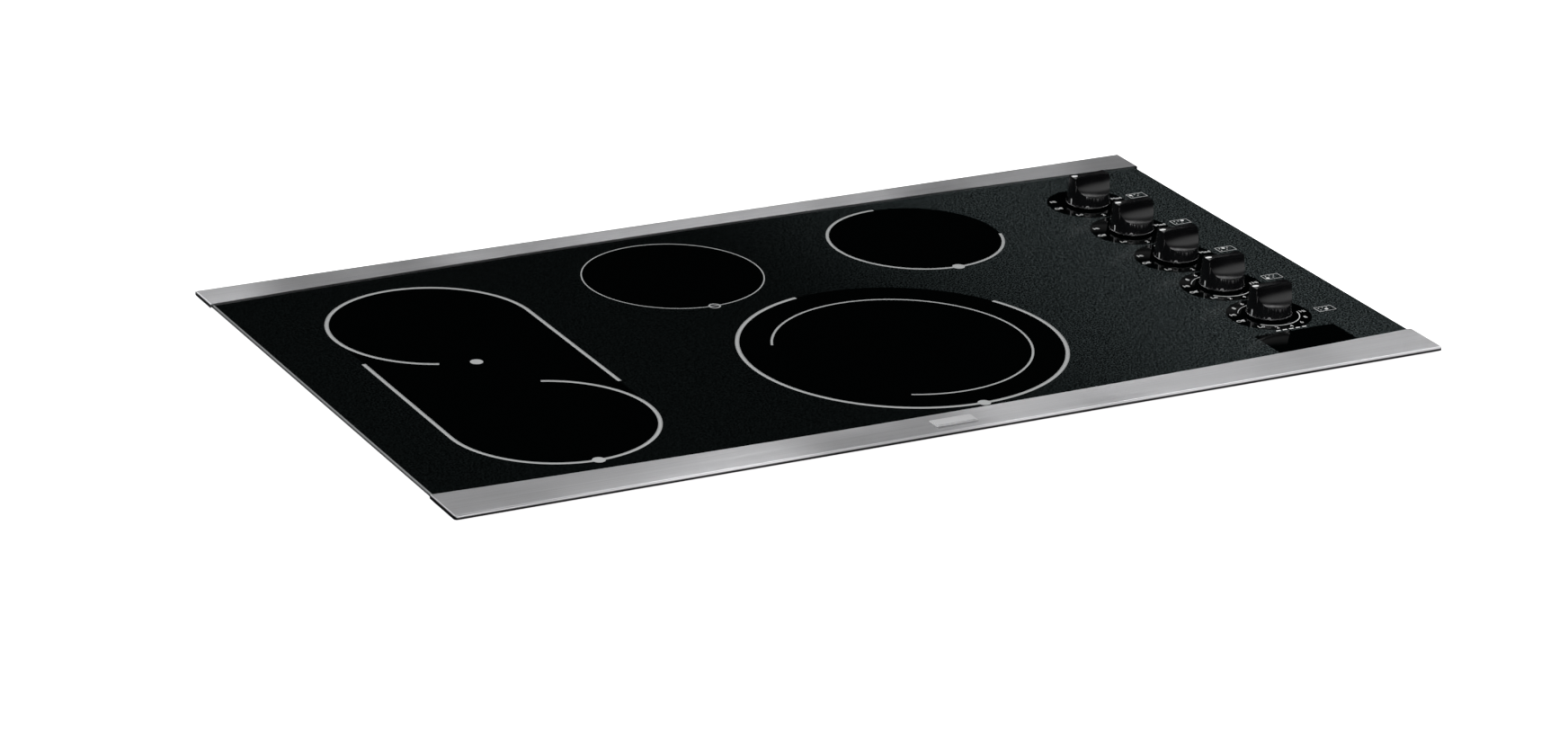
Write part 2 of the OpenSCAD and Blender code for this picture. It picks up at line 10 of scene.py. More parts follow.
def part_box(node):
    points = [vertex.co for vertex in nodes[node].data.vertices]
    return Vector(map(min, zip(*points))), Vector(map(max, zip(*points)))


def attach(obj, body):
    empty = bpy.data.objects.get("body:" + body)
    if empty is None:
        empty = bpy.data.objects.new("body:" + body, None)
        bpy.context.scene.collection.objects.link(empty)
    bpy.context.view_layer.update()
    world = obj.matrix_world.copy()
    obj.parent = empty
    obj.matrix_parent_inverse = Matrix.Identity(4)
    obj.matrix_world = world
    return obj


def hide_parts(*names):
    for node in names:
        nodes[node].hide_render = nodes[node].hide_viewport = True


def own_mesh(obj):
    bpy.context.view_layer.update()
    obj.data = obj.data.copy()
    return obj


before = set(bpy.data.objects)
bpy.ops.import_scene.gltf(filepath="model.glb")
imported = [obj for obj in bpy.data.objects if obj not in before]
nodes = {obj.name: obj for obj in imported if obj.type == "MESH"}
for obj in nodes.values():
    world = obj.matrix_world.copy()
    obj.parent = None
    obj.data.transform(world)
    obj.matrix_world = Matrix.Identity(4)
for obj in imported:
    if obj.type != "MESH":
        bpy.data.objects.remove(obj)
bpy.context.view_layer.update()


# ---------------------------------------------------------------- camera
# The camera stands to the left of the front, a little above the worktop, with a long lens.

worktop_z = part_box("worktop_seal")[0].z
glass_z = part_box("glass_top")[1].z

azimuth, elevation, roll = math.radians(-28.47), math.radians(21.5), math.radians(1.95)
back = Vector((math.sin(azimuth) * math.cos(elevation),
               -math.cos(azimuth) * math.cos(elevation),
               math.sin(elevation)))
level = Vector((math.cos(azimuth), math.sin(azimuth), 0))
upright = back.cross(level)
side = level * math.cos(roll) + upright * math.sin(roll)
above = upright * math.cos(roll) - level * math.sin(roll)
aim = Vector((-0.0804, -0.0926, glass_z))
distance = 4.53
stand = aim + back * distance

lens = bpy.data.cameras.new("product_camera")
lens.sensor_width = 36
lens.lens = 123.79
camera = bpy.data.objects.new("product_camera", lens)
turned = Matrix((side, above, back)).transposed().to_4x4()
camera.matrix_world = Matrix.Translation(stand) @ turned
bpy.context.scene.collection.objects.link(camera)
bpy.context.scene.camera = camera
bpy.context.scene.view_settings.view_transform = "Standard"


# ---------------------------------------------------------------- worktop and light
# A white worktop with the cut-out that the burner box drops through. Its edge walls are
# one board thick. It gives its own light, so that it stays an even white.

cut_out_w, cut_out_d = 0.860, 0.486
board_t = 0.038
board_reach = 9.0


class Wire:
    """An output of a shader node. Arithmetic on it adds Math nodes to the same tree."""

    def __init__(self, tree, socket):
        self.tree = tree
        self.socket = socket

    def feed(self, kind, settings, inputs, out=0):
        """Adds a node, sets its settings, then its inputs from numbers, colours or wires."""
        made = self.tree.nodes.new(kind)
        for name, value in settings.items():
            setattr(made, name, value)
        for name, value in inputs.items():
            if isinstance(value, Wire):
                self.tree.links.new(value.socket, made.inputs[name])
            else:
                made.inputs[name].default_value = value
        return Wire(self.tree, made.outputs[out])

    def maths(self, operation, *values):
        return self.feed("ShaderNodeMath", {"operation": operation}, dict(enumerate(values)))

    def __add__(self, other):
        return self.maths("ADD", self, other)

    def __radd__(self, other):
        return self.maths("ADD", other, self)

    def __sub__(self, other):
        return self.maths("SUBTRACT", self, other)

    def __rsub__(self, other):
        return self.maths("SUBTRACT", other, self)

    def __mul__(self, other):
        return self.maths("MULTIPLY", self, other)

    def __rmul__(self, other):
        return self.maths("MULTIPLY", other, self)

    def __pow__(self, other):
        return self.maths("POWER", self, other)

    def size(self):
        return self.maths("ABSOLUTE", self)

    def most(self, other):
        return self.maths("MAXIMUM", self, other)

    def ease(self, start, end, low=0.0, high=1.0):
        """Goes smoothly from low to high as the value goes from start to end."""
        return self.feed("ShaderNodeMapRange", {"interpolation_type": "SMOOTHSTEP"},
                         {0: self, 1: start, 2: end, 3: low, 4: high})

    def blend(self, one, other):
        """A colour that goes from one to the other as this value goes from 0 to 1."""
        pad = [c if isinstance(c, Wire) else (*c, 1) for c in (one, other)]
        return self.feed("ShaderNodeMix", {"data_type": "RGBA"}, {0: self, 6: pad[0], 7: pad[1]}, 2)


class Finish:
    """A material: its Principled shader, and wires that start its patterns."""

    def __init__(self, name, **constants):
        self.material = bpy.data.materials.new(name)
        self.material.use_nodes = True
        self.tree = self.material.node_tree
        self.shader = self.tree.nodes["Principled BSDF"]
        for socket, value in constants.items():
            self.set(socket.replace("_", " "), value)
        place = self.tree.nodes.new("ShaderNodeTexCoord")
        self.place = Wire(self.tree, place.outputs["Object"])
        self.x, self.y, self.z = (self.place.feed("ShaderNodeSeparateXYZ", {}, {0: self.place}, i)
                                  for i in range(3))

    def set(self, socket, value):
        """Links a wire to one of the shader's inputs, or sets a constant on it."""
        entry = self.shader.inputs[socket]
        if isinstance(value, Wire):
            self.tree.links.new(value.socket, entry)
        else:
            entry.default_value = (*value, 1) if isinstance(value, tuple) else value

    def stretched(self, along_x, along_y, along_z):
        """Object coordinates scaled on each axis, for a pattern with a direction."""
        return self.place.feed("ShaderNodeMapping", {},
                               {0: self.place, 3: (along_x, along_y, along_z)})

    def noise(self, scale, detail=2.0, rough=0.5, place=None):
        return self.place.feed("ShaderNodeTexNoise", {},
                               {"Vector": place or self.place, "Scale": scale, "Detail": detail,
                                "Roughness": rough})

    def cells(self, scale, out=0, place=None):
        return self.place.feed("ShaderNodeTexVoronoi", {},
                               {"Vector": place or self.place, "Scale": scale}, out)

    def bump(self, height, depth, strength=1.0):
        """Raises the surface by height, a wire from 0 to 1, times depth in metres."""
        self.set("Normal", self.place.feed("ShaderNodeBump", {},
                                           {"Height": height, "Distance": depth,
                                            "Strength": strength}))


def piece_from(name, mesh_edit, material):
    """A new object at the origin whose mesh is whatever mesh_edit builds in a bmesh."""
    work = bmesh.new()
    mesh_edit(work)
    mesh = bpy.data.meshes.new(name)
    work.to_mesh(mesh)
    work.free()
    made = bpy.data.objects.new(name, mesh)
    bpy.context.scene.collection.objects.link(made)
    mesh.materials.append(material)
    return made


def board(work):
    """The worktop's top face with its hole, and the hole's walls."""
    rings = [(board_reach, board_reach, worktop_z), (cut_out_w / 2, cut_out_d / 2, worktop_z),
             (cut_out_w / 2, cut_out_d / 2, worktop_z - board_t)]
    corners = [[work.verts.new((sx * w, sy * d, z)) for sx, sy in ((-1, -1), (1, -1), (1, 1), (-1, 1))]
               for w, d, z in rings]
    for outer, inner in zip(corners, corners[1:]):
        for k in range(4):
            work.faces.new((outer[k], outer[(k + 1) % 4], inner[(k + 1) % 4], inner[k]))


white = Finish("white_worktop", Base_Color=(0.8, 0.8, 0.8), Roughness=0.6,
               Emission_Color=(1, 1, 1), Emission_Strength=1.0)
worktop = piece_from("worktop", board, white.material)
worktop.visible_glossy = False
worktop.visible_diffuse = False

# The light is a soft sky: bright in front and overhead, where the knobs' scoops catch it,
# and black low down at the rear, so that the glass stays black. A long panel higher up at
# the rear, a little uneven along its length, lights the brushed trims. A plain white
# backdrop, which only the camera sees, closes the view above the worktop.
sky = bpy.data.worlds.new("studio_sky")
bpy.context.scene.world = sky
sky.use_nodes = True
ground = sky.node_tree.nodes["Background"]
around = Wire(sky.node_tree, sky.node_tree.nodes.new("ShaderNodeTexCoord").outputs["Generated"])
east, north, up = (around.feed("ShaderNodeSeparateXYZ", {}, {0: around}, i) for i in range(3))
front_dome = north.ease(-0.30, 0.10, 1.0, 0.0) * up.ease(0.30, 0.78)
overhead = up.ease(0.80, 0.97) * 0.18
panel_strength = 2.1
faintest = 0.0015
panel = north.ease(0.10, 0.30) * up.ease(0.46, 0.56) * up.ease(0.74, 0.86, 1.0, 0.0)
bands = (east * 52).maths("SINE", east * 52) * 0.25 + 1
backdrop = around.feed("ShaderNodeLightPath", {}, {}, "Is Camera Ray")
light = front_dome + overhead + panel * bands * panel_strength + faintest
glow = light * (1 - backdrop) + backdrop
ground.inputs["Color"].default_value = (1, 1, 1, 1)
sky.node_tree.links.new(glow.socket, ground.inputs["Strength"])


def soft_light(name, place, target, width, height, power):
    """A rectangular softbox that hangs at a place and faces a target."""
    lamp = bpy.data.lights.new(name, "AREA")
    lamp.shape = "RECTANGLE"
    lamp.size, lamp.size_y = width, height
    lamp.energy = power
    hung = bpy.data.objects.new(name, lamp)
    hung.location = place
    hung.rotation_mode = "QUATERNION"
    hung.rotation_quaternion = (Vector(target) - Vector(place)).to_track_quat("-Z", "Y")
    hung.visible_camera = False
    bpy.context.scene.collection.objects.link(hung)


soft_light("front_box", (-0.6, -1.6, 1.7), (0.2, 0, worktop_z), 1.2, 0.5, 22)
bpy.context.scene.cycles.caustics_reflective = False
bpy.context.scene.cycles.caustics_refractive = False


# ---------------------------------------------------------------- burner box
# Deep-drawn and folded galvanised steel, 0.9 mm thick, with punched ventilation slots.
# Angles glued under the glass are screwed to its walls.

def galvanised(name, tint):
    """Hot-dip zinc: flat grey crystals of slightly different tone."""
    zinc = Finish(name, Metallic=1.0)
    crystal = zinc.cells(85, 1)
    grain = crystal.feed("ShaderNodeSeparateColor", {}, {0: crystal}, 0)
    smear = zinc.noise(9, 4)
    tone = grain * 0.16 + smear * 0.2
    zinc.set("Base Color", tone.blend(tuple(c * 0.72 for c in tint), tint))
    zinc.set("Roughness", grain * 0.12 + smear * 0.15 + 0.28)
    zinc.bump(grain * 0.5 + smear * 0.5, 0.00004)
    return zinc.material


def finish_node(material, *names):
    """Gives carried-over nodes their material."""
    for name in names:
        nodes[name].material_slots[0].material = material


finish_node(galvanised("galvanised_sheet", (0.62, 0.64, 0.65)), "burner_box", "glass_brackets",
            "support_rails", "control_bracket", "hold_down_brackets")


# ---------------------------------------------------------------- glass
# One sheet of black glass-ceramic, ground along its side edges. Fine grey speckle is
# printed on it, except inside the zones, round the knobs and over the lamp window.

glass = Finish("black_glass", IOR=1.5)
zone_ring = {"left_rear": (-0.3090, 0.1168, 0.0903), "left_front": (-0.3100, -0.1198, 0.0895),
             "warming": (-0.0661, 0.1443, 0.0803), "right_rear": (0.1781, 0.1455, 0.0791),
             "power": (0.0381, -0.0839, 0.1408)}
knob_y = [sum(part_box(f"knob_{k}")[j].y for j in (0, 1)) / 2 for k in range(1, 6)]
knob_x = sum(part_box("knob_1")[j].x for j in (0, 1)) / 2
dial_r = 0.0375
bridge_area = (-0.3990, -0.2190, -0.1198, 0.1168)
lamp_window = (0.3285, 0.4095, -0.2400, -0.1840)
edge_soft = 0.0004


def disc(centre_x, centre_y, radius):
    """1 inside a circle on the glass and 0 outside it."""
    far = ((glass.x - centre_x) ** 2 + (glass.y - centre_y) ** 2) ** 0.5
    return far.ease(radius - edge_soft, radius + edge_soft, 1.0, 0.0)


def patch(low_x, high_x, low_y, high_y):
    """1 inside a rectangle on the glass and 0 outside it."""
    across = (glass.x - (low_x + high_x) / 2).size() - (high_x - low_x) / 2
    along = (glass.y - (low_y + high_y) / 2).size() - (high_y - low_y) / 2
    return across.most(along).ease(-edge_soft, edge_soft, 1.0, 0.0)


plain = patch(*bridge_area)
for centre_x, centre_y, radius in zone_ring.values():
    plain = plain.most(disc(centre_x, centre_y, radius))
for y in knob_y:
    plain = plain.most(disc(knob_x, y, dial_r))
plain = plain.most(patch(*lamp_window))

fleck = glass.noise(640, 2.0, 0.6).ease(0.42, 0.62)
cloud = glass.noise(210, 2.0, 0.5).ease(0.3, 0.7, 0.8, 1.0)
# Painted light: the printed speckle is painted lighter towards +X, as if lit from the right.
painted_light_rightward = glass.x.ease(-0.02, 0.36, 0.13, 1.0)
speckle_and_painted_light = fleck * cloud * painted_light_rightward * (1 - plain)
ground_edge = glass.x.size().ease(0.4614, 0.4618)
print_and_painted_light_tone = speckle_and_painted_light.blend((0.0003, 0.0006, 0.0006), (0.055, 0.070, 0.071))
glass.set("Base Color", ground_edge.blend(print_and_painted_light_tone, (0.30, 0.31, 0.31)))
glass.set("Roughness", (speckle_and_painted_light * 0.2 + 0.04).most(ground_edge * 0.55))
finish_node(glass.material, "glass_top")


# ---------------------------------------------------------------- trims and badge
# Stainless steel strips folded over the front and rear edges of the glass and glued on.
# They are brushed along their length. The plate on the front one is satin and blank.

def brushed(name, rough, deep, dull, bright):
    """Steel drawn along X: fine scratches over a broad painted sheen, dull to bright, that stands in for
    reflected bands of light.
    """
    steel = Finish(name, Metallic=1.0)
    fine = steel.noise(1.0, 3.0, 0.6, steel.stretched(5, 2600, 2600))
    wide = steel.noise(1.0, 2.0, 0.5, steel.stretched(2, 700, 700))
    scratch = fine * 0.7 + wide * 0.3
    # Painted reflection: broad stretches of light and dark painted into the steel's colour.
    painted_sheen = steel.noise(1.0, 1.0, 0.4, steel.stretched(6, 6, 6)).ease(0.35, 0.65, dull, bright)
    tone = painted_sheen + (scratch - 0.5) * 0.5
    steel.set("Base Color", tone.blend((0.04, 0.04, 0.042), (0.93, 0.93, 0.95)))
    steel.set("Roughness", scratch * 0.12 + rough)
    steel.bump(scratch, deep)
    return steel.material


finish_node(brushed("brushed_steel", 0.24, 0.00010, 0.47, 0.95), "front_trim", "rear_trim")
badge = Finish("badge_steel", Metallic=1.0)
faint_painted_sheen = badge.noise(30, 1.0, 0.4)
# Painted sheen: faint broad patches of lighter and darker colour on the plate, which also vary its
# roughness.
badge.set("Base Color", faint_painted_sheen.blend((0.86, 0.86, 0.87), (0.92, 0.92, 0.93)))
badge.set("Roughness", faint_painted_sheen * 0.05 + 0.30)
finish_node(badge.material, "trim_badge")


# ---------------------------------------------------------------- seal
# A strip of black closed-cell foam stuck round the underside of the glass.

foam = Finish("seal_foam", Roughness=0.92)
pores = foam.cells(1600)
foam.set("Base Color", pores.blend((0.012, 0.012, 0.012), (0.035, 0.035, 0.036)))
foam.bump(pores, 0.0002)
finish_node(foam.material, "worktop_seal")


# ---------------------------------------------------------------- heating elements
# Each zone has a pressed pan of aluminised steel packed with chalky microporous
# insulation. A corrugated ribbon of heating alloy stands on edge in it.

zones = ["left_rear", "bridge", "left_front", "warming", "power", "right_rear"]

pan_steel = Finish("pan_sheet", Metallic=1.0)
drawn_marks = pan_steel.noise(1.0, 3.0, 0.55, pan_steel.stretched(40, 40, 700))
blotch = pan_steel.noise(24, 3.0)
pan_steel.set("Base Color", blotch.blend((0.50, 0.50, 0.49), (0.68, 0.68, 0.67)))
pan_steel.set("Roughness", drawn_marks * 0.2 + blotch * 0.1 + 0.24)
pan_steel.bump(drawn_marks, 0.00006)
finish_node(pan_steel.material, *(f"{zone}_pan" for zone in zones))

chalk = Finish("insulation", Roughness=0.97)
crumb = chalk.noise(420, 5.0, 0.7)
scorch = chalk.noise(30, 3.0)
chalk.set("Base Color", (crumb * 0.4 + scorch * 0.6).blend((0.66, 0.61, 0.52), (0.86, 0.85, 0.80)))
chalk.bump(crumb, 0.0006)
finish_node(chalk.material, *(f"{zone}_insulation" for zone in zones))


def sweep_tree(name, form):
    """Geometry nodes that carry a section along a path of edges: Width across, Height up."""
    tree = bpy.data.node_groups.new(name, "GeometryNodeTree")
    face = tree.interface
    for title, kind in (("Path", "NodeSocketGeometry"), ("Width", "NodeSocketFloat"),
                        ("Height", "NodeSocketFloat"), ("Finish", "NodeSocketMaterial")):
        face.new_socket(title, in_out="INPUT", socket_type=kind)
    face.new_socket("Strip", in_out="OUTPUT", socket_type="NodeSocketGeometry")
    kinds = {"start": "NodeGroupInput", "curve": "GeometryNodeMeshToCurve",
             "flat": "GeometryNodeSetCurveNormal", "form": form,
             "sweep": "GeometryNodeCurveToMesh", "real": "GeometryNodeRealizeInstances",
             "paint": "GeometryNodeSetMaterial", "end": "NodeGroupOutput"}
    made = {name: tree.nodes.new(kind) for name, kind in kinds.items()}
    made["flat"].mode = "Z_UP"
    made["sweep"].inputs["Fill Caps"].default_value = True
    sizes = (("Width", "Width"), ("Height", "Height"))
    if form == "GeometryNodeCurvePrimitiveCircle":
        made["form"].inputs["Resolution"].default_value = 12
        sizes = (("Width", "Radius"),)
    for source, out, sink, entry in (
            ("start", "Path", "curve", "Mesh"), ("curve", "Curve", "flat", "Curve"),
            ("flat", "Curve", "sweep", "Curve"), ("form", "Curve", "sweep", "Profile Curve"),
            *(("start", given, "form", taken) for given, taken in sizes),
            ("sweep", "Mesh", "real", "Geometry"), ("real", "Geometry", "paint", "Geometry"),
            ("start", "Finish", "paint", "Material"), ("paint", "Geometry", "end", "Strip")):
        tree.links.new(made[source].outputs[out], made[sink].inputs[entry])
    return tree


def grown(name, start, tree, inputs, material):
    """Runs a geometry node tree on an object and keeps the result as a plain mesh."""
    grower = start.modifiers.new("grower", "NODES")
    grower.node_group = tree
    for entry in tree.interface.items_tree:
        if entry.in_out == "INPUT" and entry.name in inputs:
            grower[entry.identifier] = inputs[entry.name]
    start.data.update()
    shown = start.evaluated_get(bpy.context.evaluated_depsgraph_get())
    mesh = bpy.data.meshes.new_from_object(shown)
    bpy.data.objects.remove(start)
    mesh.name = name
    mesh.materials.clear()
    mesh.materials.append(material)
    made = bpy.data.objects.new(name, mesh)
    bpy.context.scene.collection.objects.link(made)
    return made


def path_object(points, closed=False):
    """An object whose mesh is only a run of edges."""
    count = len(points)
    edges = [(k, k + 1) for k in range(count - 1)] + ([(count - 1, 0)] if closed else [])
    mesh = bpy.data.meshes.new("path")
    mesh.from_pydata([tuple(p) for p in points], edges, [])
    made = bpy.data.objects.new("path", mesh)
    bpy.context.scene.collection.objects.link(made)
    return made


strip_tree = sweep_tree("flat_strip", "GeometryNodeCurvePrimitiveQuadrilateral")
wire_tree = sweep_tree("round_wire", "GeometryNodeCurvePrimitiveCircle")
alloy = Finish("ribbon_alloy", Metallic=1.0)
heat_tint = alloy.noise(60, 3.0)
alloy.set("Base Color", heat_tint.blend((0.20, 0.15, 0.13), (0.36, 0.30, 0.27)))
alloy.set("Roughness", heat_tint * 0.2 + 0.38)
alloy.bump(alloy.noise(900), 0.00004)

ribbon_pitch = 0.011
ribbon_first_r = 0.015
ribbon_gap = math.radians(18)
ribbon_t = 0.0005
wave_long = 0.0072
wave_out = 0.0011


def coil(first_r, last_r):
    """Wavy arcs from the inside out; each turns back beside a gap on its -X side."""
    count = int((last_r - first_r) / ribbon_pitch + 0.001) + 1
    points = []
    for ring in range(count):
        radius = first_r + ring * ribbon_pitch
        sweep = 2 * math.pi - 2 * ribbon_gap
        steps = round(radius * sweep / (wave_long / 6))
        way = 1 if ring % 2 == 0 else -1
        for k in range(steps + 1):
            angle = math.pi + way * (ribbon_gap + sweep * k / steps)
            fade = min(1, k / 6, (steps - k) / 6)
            out = radius + fade * wave_out * math.sin(radius * sweep * k / steps / wave_long * 2 * math.pi)
            points.append((out * math.cos(angle), out * math.sin(angle)))
    return points


for zone in zones:
    low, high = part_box(f"{zone}_ribbon")
    middle = (low + high) / 2
    if zone == "bridge":
        rows = 9
        row_x = [low.x + ribbon_t / 2 + (high.x - low.x - ribbon_t) * k / (rows - 1) for k in range(rows)]
        half = (high.y - low.y) / 2 - ribbon_t
        paths = [[]]
        for k, x in enumerate(row_x):
            reach = half * (0.55 + 0.45 * ((x - middle.x) / (high.x - middle.x)) ** 2)
            ends = (middle.y - reach, middle.y + reach)
            paths[0] += [(x, y) for y in (ends if k % 2 == 0 else reversed(ends))]
    else:
        cx, cy = (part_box(f"{zone}_pan")[0].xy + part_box(f"{zone}_pan")[1].xy) / 2
        outer_r = high.x - cx - ribbon_t / 2
        parts = [(ribbon_first_r, outer_r)]
        if zone == "power":
            parts = [(ribbon_first_r, 0.104), (outer_r - ribbon_pitch, outer_r)]
        paths = [[(cx + x, cy + y) for x, y in coil(*part)] for part in parts]
    for number, path in enumerate(paths):
        start = path_object([(x, y, middle.z) for x, y in path])
        strip = grown(f"{zone}_heater_{number + 1}", start, strip_tree,
                      {"Width": ribbon_t, "Height": high.z - low.z, "Finish": alloy.material},
                      alloy.material)
        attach(strip, "cooktop")
    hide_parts(f"{zone}_ribbon")


# ---------------------------------------------------------------- springs and limiters
# Bowed blue steel leaf springs press the pans up. Each limiter is a glazed ceramic block
# with a long probe across its zone.

blued = Finish("spring_steel", Metallic=1.0)
temper = blued.noise(45, 3.0)
blued.set("Base Color", temper.blend((0.18, 0.19, 0.22), (0.36, 0.35, 0.34)))
blued.set("Roughness", temper * 0.15 + 0.24)
blued.bump(blued.noise(1.0, 2.0, 0.5, blued.stretched(900, 30, 900)), 0.00003)
finish_node(blued.material, "element_springs")

steatite = Finish("ceramic", IOR=1.55)
glaze = steatite.noise(120, 3.0)
steatite.set("Base Color", glaze.blend((0.74, 0.72, 0.66), (0.86, 0.85, 0.81)))
steatite.set("Roughness", glaze * 0.25 + 0.28)
steatite.bump(glaze, 0.00008)
finish_node(steatite.material, "limiters")


# ---------------------------------------------------------------- supply entry and wiring
# A die-cast bushing with a locknut, a phenolic terminal block with brass posts, and looms
# of silicone-covered wire. No cord is fitted.

cast = Finish("zinc_casting", Metallic=1.0)
skin = cast.noise(260, 4.0, 0.6)
cast.set("Base Color", skin.blend((0.46, 0.46, 0.47), (0.62, 0.62, 0.64)))
cast.set("Roughness", skin * 0.2 + 0.34)
cast.bump(skin, 0.0001)
finish_node(cast.material, "cable_bushing")

brass = Finish("terminal_brass", Metallic=1.0)
tarnish = brass.noise(150, 3.0)
brass.set("Base Color", tarnish.blend((0.55, 0.36, 0.14), (0.80, 0.60, 0.28)))
brass.set("Roughness", tarnish * 0.2 + 0.2)
brass.bump(brass.noise(1800), 0.00002)
finish_node(brass.material, "brass_terminals")

sleeve = Finish("wire_insulation", IOR=1.45)
weave = sleeve.noise(700, 2.0)
dust = sleeve.noise(40, 3.0)
sleeve.set("Base Color", dust.blend((0.30, 0.03, 0.022), (0.42, 0.07, 0.05)))
sleeve.set("Roughness", dust * 0.2 + 0.42)
sleeve.bump(weave, 0.00006)
finish_node(sleeve.material, "wiring_harness")


# ---------------------------------------------------------------- fasteners
# Zinc-plated steel with a faint yellow passivation.

zinc = Finish("zinc_screw", Metallic=1.0)
rainbow = zinc.noise(190, 2.0)
zinc.set("Base Color", rainbow.blend((0.58, 0.58, 0.60), (0.72, 0.68, 0.55)))
zinc.set("Roughness", rainbow * 0.15 + 0.22)
zinc.bump(zinc.noise(2200), 0.00002)
finish_node(zinc.material, "box_screws", "clamp_screws")


# ---------------------------------------------------------------- indicator
# A white light box with five red lamps below the plain window of the glass.

box_white = Finish("lamp_housing", Roughness=0.5)
box_grain = box_white.noise(600, 3.0)
box_white.set("Base Color", box_grain.blend((0.70, 0.69, 0.66), (0.80, 0.79, 0.77)))
box_white.bump(box_grain, 0.00004)
finish_node(box_white.material, "indicator_housing")

lens_red = Finish("lamp_lens", IOR=1.49)
lens_fade = lens_red.noise(300, 2.0)
lens_red.set("Base Color", lens_fade.blend((0.42, 0.015, 0.01), (0.58, 0.04, 0.02)))
lens_red.set("Roughness", lens_fade * 0.1 + 0.1)
lens_red.bump(lens_fade, 0.00002)
finish_node(lens_red.material, "indicator_lamps")


# ---------------------------------------------------------------- zone prints
# Grey ceramic ink, fired on to the glass in thin lines that show where the pans go.
# A dot marks the front of each zone that has a limiter below it.

ink_rise = 0.00002
ink_t = 0.00006
ring_w = 0.0037
thin_ring_w = 0.0022
warming_ring_w = 0.0013
dot_r = 0.0056


def ink(name, tone, rough=0.45):
    """Matt enamel, a little thinner in places."""
    enamel = Finish(name, Roughness=rough)
    thin = enamel.noise(900, 2.0)
    enamel.set("Base Color", thin.blend(tuple(c * 0.9 for c in tone), tone))
    enamel.bump(thin, 0.00001)
    return enamel.material


def arc(centre_x, centre_y, radius, start, sweep, z, step=2.0):
    """Points along an arc; angles in degrees, counter-clockwise from +X."""
    count = max(2, int(abs(sweep) / step))
    angles = [math.radians(start + sweep * k / count) for k in range(count + 1)]
    return [Vector((centre_x + radius * math.cos(a), centre_y + radius * math.sin(a), z))
            for a in angles]


def printed_line(name, points, width, material, closed=False):
    line = grown(name, path_object(points, closed), strip_tree,
                 {"Width": width, "Height": ink_t, "Finish": material}, material)
    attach(line, "cooktop")


grey_ink = ink("grey_print", (0.42, 0.43, 0.43))
white_ink = ink("white_print", (0.90, 0.91, 0.91))
ink_z = glass_z + ink_rise + ink_t / 2

cx, cy, r = zone_ring["left_rear"]
right_tail = [Vector((cx + r, y, ink_z)) for y in (0.09, 0.03, -0.03, -0.0614)]
printed_line("left_rear_line", arc(cx, cy, r, 249.1, -249.1, ink_z) + right_tail, ring_w, grey_ink)
cx, cy, r = zone_ring["left_front"]
left_tail = [Vector((cx - r, y, ink_z)) for y in (-0.09, -0.03, 0.02, 0.0567)]
printed_line("left_front_line", arc(cx, cy, r, 70.0, -250.0, ink_z) + left_tail, ring_w, grey_ink)
cx, cy, r = zone_ring["warming"]
printed_line("warming_line", arc(cx, cy, r, 0, 360, ink_z)[:-1], warming_ring_w, grey_ink, True)
marker = arc(cx, cy - r - 0.0005, 0.0048, 0, 360, ink_z + 2 * ink_t, 10)[:-1]
printed_line("warming_marker", marker, 0.0016, grey_ink, True)
cx, cy, r = zone_ring["right_rear"]
printed_line("right_rear_line", arc(cx, cy, r, 90, 256, ink_z), 0.0030, grey_ink)
cx, cy, r = zone_ring["power"]
printed_line("power_outer_line", arc(cx, cy, r, 102.4, 284.6, ink_z), ring_w, grey_ink)
printed_line("power_inner_line", arc(cx, cy, 0.1113, -115, 271, ink_z), thin_ring_w, grey_ink)


def dots(places):
    """Filled dots of ink, a hair above the lines that they sit on."""
    def edit(work):
        for x, y in places:
            lift = Matrix.Translation((x, y, ink_z + ink_t))
            bmesh.ops.create_cone(work, cap_ends=True, segments=40, radius1=dot_r, radius2=dot_r,
                                  depth=ink_t, matrix=lift)
    return edit


dot_places = [(x, y - radius) for zone, (x, y, radius) in zone_ring.items()
              if zone in ("power", "right_rear", "left_front")] + [(-0.3103, 0.0247)]
zone_dots = piece_from("zone_dots", dots(dot_places), grey_ink)
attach(zone_dots, "cooktop")


# ---------------------------------------------------------------- dial prints
# White enamel: Off, Lo, Med, Hi and figures round each knob, and beside it a little plan
# of the zones that has its own zone filled in.

def lettering(name, words, height, material):
    """Flat words as one mesh: each is (text, x, y), centred on its place."""
    parts = bmesh.new()
    for text, x, y in words:
        face = bpy.data.curves.new(name, "FONT")
        face.body = text
        face.size = height
        face.align_x = face.align_y = "CENTER"
        face.extrude = ink_t / 2
        face.resolution_u = 3
        typed = bpy.data.objects.new(name, face)
        bpy.context.scene.collection.objects.link(typed)
        shown = typed.evaluated_get(bpy.context.evaluated_depsgraph_get())
        mesh = bpy.data.meshes.new_from_object(shown)
        mesh.transform(Matrix.Translation((x, y, ink_z)))
        parts.from_mesh(mesh)
        bpy.data.objects.remove(typed)
        bpy.data.curves.remove(face)
        bpy.data.meshes.remove(mesh)
    bmesh.ops.remove_doubles(parts, verts=parts.verts, dist=1e-7)
    mesh = bpy.data.meshes.new(name)
    parts.to_mesh(mesh)
    parts.free()
    mesh.materials.append(material)
    made = bpy.data.objects.new(name, mesh)
    bpy.context.scene.collection.objects.link(made)
    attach(made, "cooktop")


